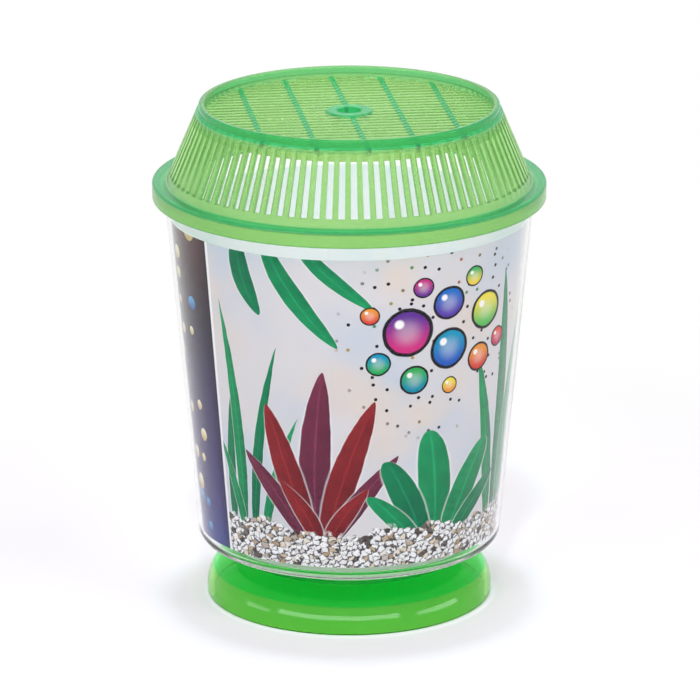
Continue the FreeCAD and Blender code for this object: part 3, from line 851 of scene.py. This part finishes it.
def paint_stripe(tree, canvas, place, across, up, brush):
    """The dark stripe up one side, indigo at its foot and plum above, with bubbles and a white edge."""
    height = calc(tree, "DIVIDE", up, PRINT_HEIGHT / MM)
    tone = ramp(tree, calc(tree, "MULTIPLY_ADD", brush, 0.06, height), [
        (0.0, colour(42, 60, 140)), (0.2, colour(56, 46, 112)), (0.5, colour(46, 32, 86)),
        (0.75, colour(32, 20, 46)), (0.92, colour(52, 18, 28)), (1.0, colour(70, 28, 34))])
    inner = fade(tree, across, -66, -61.5)
    tone = blend(tree, calc(tree, "MULTIPLY", inner, 0.45), tone, colour(20, 16, 30))
    tone = paint_beads(tree, tone, place, up)
    right_side = calc(tree, "GREATER_THAN", across, STRIPE_WRAP)
    left_side = fade(tree, across, STRIPE_EDGE + 0.1, STRIPE_EDGE - 0.1)
    line = fade(tree, across, STRIPE_EDGE + 1.3, STRIPE_EDGE + 1.1)
    lined = blend(tree, line, canvas, colour(244, 243, 246))
    return blend(tree, calc(tree, "MAXIMUM", left_side, right_side), lined, tone)


def make_print(finish):
    """The sleeve's printed face: a made-up garden of leaves and bubbles over pebbles, twice round it."""
    material, tree, output = new_material("sleeve_print")
    print_map = node(tree, "ShaderNodeUVMap", uv_map="print").outputs[0]
    spot = node(tree, "ShaderNodeSeparateXYZ", {"Vector": print_map})
    across = calc(tree, "WRAP", spot.outputs["X"], SCENE_RIGHT, SCENE_LEFT)
    up = spot.outputs["Y"]
    place = node(tree, "ShaderNodeCombineXYZ", {"X": across, "Y": up}).outputs[0]
    brush = noise(tree, place, 0.16, 3)
    leaf, bubble = make_painted_leaf(), make_painted_bubble()
    canvas = paint_background(tree, place, brush)
    canvas = paint_specks(tree, canvas, place)
    for foot_u, foot_v, height, lean, bend, width, tip, tones in LEAVES:
        canvas = node(tree, "ShaderNodeGroup", {
            "Canvas": canvas, "U": across, "V": up, "Brush": brush, "Foot U": foot_u, "Foot V": foot_v,
            "Height": height, "Lean": lean, "Bend": bend, "Width": width * LEAF_FULLNESS, "Tip": tip,
            "Dark": colour(*tones[0]), "Light": colour(*tones[1])}, node_tree=leaf).outputs[0]
    for middle_u, middle_v, radius, top, low in BUBBLES:
        canvas = node(tree, "ShaderNodeGroup", {
            "Canvas": canvas, "U": across, "V": up, "Brush": brush, "Middle U": middle_u,
            "Middle V": middle_v, "Radius": radius, "Top": colour(*top), "Low": colour(*low)},
            node_tree=bubble).outputs[0]
    canvas = paint_pebbles(tree, canvas, place, across)
    canvas = paint_stripe(tree, canvas, place, across, up, brush)
    polish = finish_of(tree, finish, 0.36, 0.12)
    sheet = node(tree, "ShaderNodeBsdfPrincipled", {
        "Base Color": canvas, "Roughness": polish["Roughness"], "Specular IOR Level": 0.05,
        "Normal": bumped(tree, polish["Height"], 0.1, 0.2 * MM)})
    tree.links.new(sheet.outputs[0], output.inputs["Surface"])
    return material


def make_white_back(finish):
    """The sleeve's white back, with a lilac tint painted on it to offset the green light that comes in
    through the lid.
    """
    material, tree, output = new_material("sleeve_white_back")
    polish = finish_of(tree, finish, 0.5, 0.15)
    # Painted light: lilac tint on the white sheet, offsetting the green light from the lid inside the tank
    tone = blend(tree, polish["Cloud"], (0.97, 0.88, 0.955, 1), (0.95, 0.86, 0.935, 1))
    sheet = node(tree, "ShaderNodeBsdfPrincipled", {
        "Base Color": tone, "Roughness": polish["Roughness"],
        "Normal": bumped(tree, polish["Height"], 0.1, 0.2 * MM)})
    tree.links.new(sheet.outputs[0], output.inputs["Surface"])
    return material


def make_floor():
    """A wide pale floor that runs out to white away from the object."""
    mesh = bmesh.new()
    bmesh.ops.create_circle(mesh, cap_ends=True, segments=96, radius=FLOOR_RADIUS)
    floor = new_object("floor", mesh)
    material, tree, output = new_material("pale_floor")
    spot = node(tree, "ShaderNodeTexCoord").outputs["Object"]
    away = node(tree, "ShaderNodeVectorMath", {0: spot}, operation="LENGTH").outputs["Value"]
    share = fade(tree, away, FLOOR_NEAR, FLOOR_FAR)
    lit = node(tree, "ShaderNodeBsdfDiffuse", {"Color": (0.95, 0.92, 0.96, 1)})
    white = node(tree, "ShaderNodeEmission", {"Color": (1, 1, 1, 1), "Strength": 1.0})
    mix = node(tree, "ShaderNodeMixShader", {0: share, 1: lit.outputs[0], 2: white.outputs[0]})
    tree.links.new(mix.outputs[0], output.inputs["Surface"])
    floor.data.materials.append(material)


def stand_lamp(name, data, place, target):
    """Stands a lamp at a place, aimed at a point. It doesn't show in what is polished or clear."""
    lamp = bpy.data.objects.new(name, data)
    lamp.location = place
    lamp.rotation_euler = (Vector(target) - Vector(place)).to_track_quat("-Z", "Y").to_euler()
    lamp.visible_glossy = False
    lamp.visible_transmission = False
    bpy.context.scene.collection.objects.link(lamp)


def make_lamp(name, place, target, width, power):
    """A soft square studio lamp."""
    data = bpy.data.lights.new(name, "AREA")
    data.shape = "SQUARE"
    data.size = width
    data.energy = power
    stand_lamp(name, data, place, target)


def make_spot(name, place, target, cone, power):
    """A narrow lamp that shines down through the lid, with a soft edge."""
    data = bpy.data.lights.new(name, "SPOT")
    data.spot_size = cone
    data.spot_blend = 0.4
    data.shadow_soft_size = 80 * MM
    data.energy = power
    stand_lamp(name, data, place, target)


def between(tree, angle, low, high, softness):
    """A mask of an angle between two others, given in degrees with the softness of its ends."""
    rise = fade(tree, angle, math.radians(low - softness), math.radians(low + softness))
    fall = fade(tree, angle, math.radians(high + softness), math.radians(high - softness))
    return calc(tree, "MULTIPLY", rise, fall)


def glow(tree, azimuth, elevation, strip):
    """How brightly a soft strip of the surround shines in a direction."""
    left, right, low, high, strength = strip
    round_it = between(tree, azimuth, left, right, STRIP_SIDE_SOFTNESS)
    up_it = between(tree, elevation, low, high, STRIP_END_SOFTNESS)
    return calc(tree, "MULTIPLY", calc(tree, "MULTIPLY", round_it, up_it), strength)


def make_light():
    """A surround that is brighter overhead than at the sides and white where it shows, with low bright
    strips round the keeper that only polished surfaces mirror, and soft lamps."""
    world = bpy.data.worlds.new("studio")
    bpy.context.scene.world = world
    world.use_nodes = True
    tree = world.node_tree
    tree.nodes.clear()
    direction = node(tree, "ShaderNodeTexCoord").outputs["Generated"]
    way = node(tree, "ShaderNodeSeparateXYZ", {"Vector": direction}).outputs
    elevation = calc(tree, "ARCSINE", way["Z"])
    azimuth = calc(tree, "ARCTAN2", way["X"], calc(tree, "MULTIPLY", way["Y"], -1.0))
    level = calc(tree, "MULTIPLY_ADD", fade(tree, way["Z"], 0.0, 0.9), 0.35, 0.55)
    path = node(tree, "ShaderNodeLightPath").outputs
    seen = calc(tree, "MAXIMUM", path["Is Camera Ray"],
                calc(tree, "MAXIMUM", path["Is Glossy Ray"], path["Is Transmission Ray"]))
    strength = node(tree, "ShaderNodeMix", {0: seen, 2: level, 3: 1.0}).outputs[0]
    near = calc(tree, "LESS_THAN", path["Ray Depth"], STRIP_RAY_DEPTH)
    mirrored = calc(tree, "MULTIPLY", path["Is Glossy Ray"], near)
    for strip in STRIPS:
        card = calc(tree, "MULTIPLY", mirrored, glow(tree, azimuth, elevation, strip))
        strength = calc(tree, "ADD", strength, card)
    studio = node(tree, "ShaderNodeBackground", {"Color": (1, 1, 1, 1), "Strength": strength})
    output = node(tree, "ShaderNodeOutputWorld")
    tree.links.new(studio.outputs[0], output.inputs["Surface"])
    middle = (0, 0, 0.09)
    make_lamp("key_lamp", (-0.9, -1.3, 1.0), middle, 0.7, 9.5)
    make_lamp("fill_lamp", (1.2, -1.2, 0.8), middle, 0.6, 6.5)
    make_lamp("top_lamp", (0.1, 0.4, 1.5), middle, 0.8, 3.5)
    grille = (0, 0, GRILLE_TOP)
    make_spot("lid_lamp", (-0.15, -0.85, 1.35), grille, math.radians(4.6), 75)
    make_spot("well_lamp", (0, 0.1, 1.6), grille, math.radians(5), 52)


def make_camera():
    """The camera at the photograph's place, its distance, height and tilt fitted to the keeper's rings."""
    azimuth = math.radians(-7.6)
    distance, height = 1800 * MM, 647.9 * MM
    tilt = math.radians(17.22)
    focal_pixels, image_pixels = 5256, 700
    sensor = 36
    data = bpy.data.cameras.new("camera")
    data.sensor_width = sensor
    data.lens = focal_pixels / image_pixels * sensor
    data.shift_x = 0.75 / image_pixels
    camera = bpy.data.objects.new("camera", data)
    camera.location = (distance * math.sin(azimuth), -distance * math.cos(azimuth), height)
    camera.rotation_euler = (math.pi / 2 - tilt, 0, azimuth)
    bpy.context.scene.collection.objects.link(camera)
    bpy.context.scene.camera = camera


make_camera()
make_light()
make_floor()
finish = make_mould_finish()
finished(make_pedestal(), "pedestal_base", "pedestal",
         [make_base_plastic(finish), make_seat_plastic(finish)])
finished(make_tank(), "tank", "tub", [make_clear_plastic(finish)])
finished(make_sleeve(), "picture_sleeve", "tub",
         [make_print(finish), make_white_back(finish)])
finished(make_lid(), "lid", "cover", [make_lid_plastic(finish)])

scene = bpy.context.scene
scene.view_settings.view_transform = "Standard"
scene.cycles.use_denoising = True
scene.cycles.transmission_bounces = 24
scene.cycles.max_bounces = 24
scene.cycles.diffuse_bounces = 8
scene.cycles.transparent_max_bounces = 32
